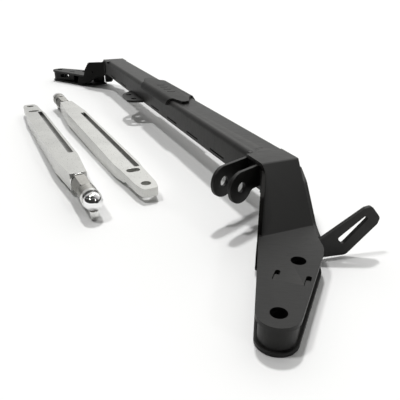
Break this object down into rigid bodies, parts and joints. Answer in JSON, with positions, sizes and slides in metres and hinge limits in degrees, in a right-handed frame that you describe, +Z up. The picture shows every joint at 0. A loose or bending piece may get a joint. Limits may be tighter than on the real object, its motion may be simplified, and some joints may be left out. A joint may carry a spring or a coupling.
{
  "type": "suspension crossbeam with adjustable links",
  "caption": "Folded steel channel beam with dropped, drilled arms at both ends, clevis ears and a slotted bracket, with loose milled links ending in threaded ball joints",
  "frame": {"origin": "centre of the bounding box in X and Y, on the floor that the arm bases stand on", "axes": "+Y runs along the beam from the near arm to the far arm, +Z is up, and both arms turn towards -X"},
  "size_m": [0.3294, 1.3304, 0.0903],
  "materials": {
    "powder_coat": "satin black powder coat on welded steel plate",
    "milled_aluminium": "milled and lightly polished",
    "zinc_steel": "bright zinc plate",
    "turned_steel": "turned, fine machining marks",
    "chrome": "polished chrome plate",
    "stud_steel": "ground steel",
    "seat_plastic": "moulded acetal"
  },
  "bodies": {
    "beam": {"near_channel": "powder_coat", "far_channel": "powder_coat", "near_arm_plate": "powder_coat", "far_arm_plate": "powder_coat", "splice_saddle": "powder_coat", "bottom_plate": "powder_coat", "near_left_web": "powder_coat", "near_right_web": "powder_coat", "far_left_web": "powder_coat", "far_right_web": "powder_coat", "near_arm_base": "powder_coat", "far_arm_base": "powder_coat", "near_arm_gusset": "powder_coat", "far_arm_gusset": "powder_coat", "near_tip_strap": "powder_coat", "far_tip_strap": "powder_coat", "near_inner_sleeve": "powder_coat", "near_tip_sleeve": "powder_coat", "far_inner_sleeve": "powder_coat", "far_tip_sleeve": "powder_coat", "inboard_clevis_ear": "powder_coat", "outboard_clevis_ear": "powder_coat", "slotted_bracket": "powder_coat"},
    "left_link": {"left_link_body": "milled_aluminium", "left_thrust_washer": "zinc_steel"},
    "left_adjuster": {"left_hex_adjuster": "turned_steel"},
    "left_rod_end": {"left_threaded_shank": "zinc_steel", "left_socket_neck": "turned_steel", "left_end_ring": "zinc_steel", "left_ball_housing": "chrome", "left_housing_cap": "chrome"},
    "left_seat": {"left_ball_seat": "seat_plastic"},
    "left_stud": {"left_ball_stud": "stud_steel"},
    "right_link": {"right_link_body": "milled_aluminium", "right_thrust_washer": "zinc_steel"},
    "right_adjuster": {"right_hex_adjuster": "turned_steel"},
    "right_rod_end": {"right_threaded_shank": "zinc_steel", "right_socket_neck": "turned_steel", "right_end_ring": "zinc_steel", "right_ball_housing": "chrome", "right_housing_cap": "chrome"},
    "right_seat": {"right_ball_seat": "seat_plastic"},
    "right_stud": {"right_ball_stud": "stud_steel"}
  },
  "joints": [
    {"name": "left_link_lift", "type": "slide", "parent": "beam", "child": "left_link", "axis": [0, 0, 1], "range_m": [0, 0.2]},
    {"name": "left_adjuster_turn", "type": "hinge", "parent": "left_link", "child": "left_adjuster", "pos_m": [-0.12464, -0.28515, 0.02443], "axis": [0.0459, -0.9985, 0.0289], "range_deg": [0, 3600]},
    {"name": "left_rod_end_slide", "type": "slide", "parent": "left_link", "child": "left_rod_end", "axis": [0.0459, -0.9985, 0.0289], "range_m": [0, 0.02]},
    {"name": "left_seat_swivel", "type": "hinge", "parent": "left_rod_end", "child": "left_seat", "pos_m": [-0.12207, -0.34107, 0.02604], "axis": [-0.0013, 0.0289, 0.9996], "continuous": true},
    {"name": "left_stud_tilt", "type": "hinge", "parent": "left_seat", "child": "left_stud", "pos_m": [-0.12207, -0.34107, 0.02604], "axis": [0.9989, 0.0459, 0], "range_deg": [-15, 15]},
    {"name": "right_link_lift", "type": "slide", "parent": "beam", "child": "right_link", "axis": [0, 0, 1], "range_m": [0, 0.2]},
    {"name": "right_adjuster_turn", "type": "hinge", "parent": "right_link", "child": "right_adjuster", "pos_m": [-0.07509, 0.22348, 0.02443], "axis": [-0.0736, 0.9969, 0.0289], "range_deg": [0, 3600]},
    {"name": "right_rod_end_slide", "type": "slide", "parent": "right_link", "child": "right_rod_end", "axis": [-0.0736, 0.9969, 0.0289], "range_m": [0, 0.02]},
    {"name": "right_seat_swivel", "type": "hinge", "parent": "right_rod_end", "child": "right_seat", "pos_m": [-0.07921, 0.27931, 0.02604], "axis": [0.0021, -0.0288, 0.9996], "continuous": true},
    {"name": "right_stud_tilt", "type": "hinge", "parent": "right_seat", "child": "right_stud", "pos_m": [-0.07921, 0.27931, 0.02604], "axis": [-0.9973, -0.0736, 0], "range_deg": [-15, 15]}
  ],
  "couplings": [
    {"joint": "left_adjuster_turn", "follows": "left_rod_end_slide", "rad_per_m": 3141.6},
    {"joint": "right_adjuster_turn", "follows": "right_rod_end_slide", "rad_per_m": 3141.6}
  ]
}
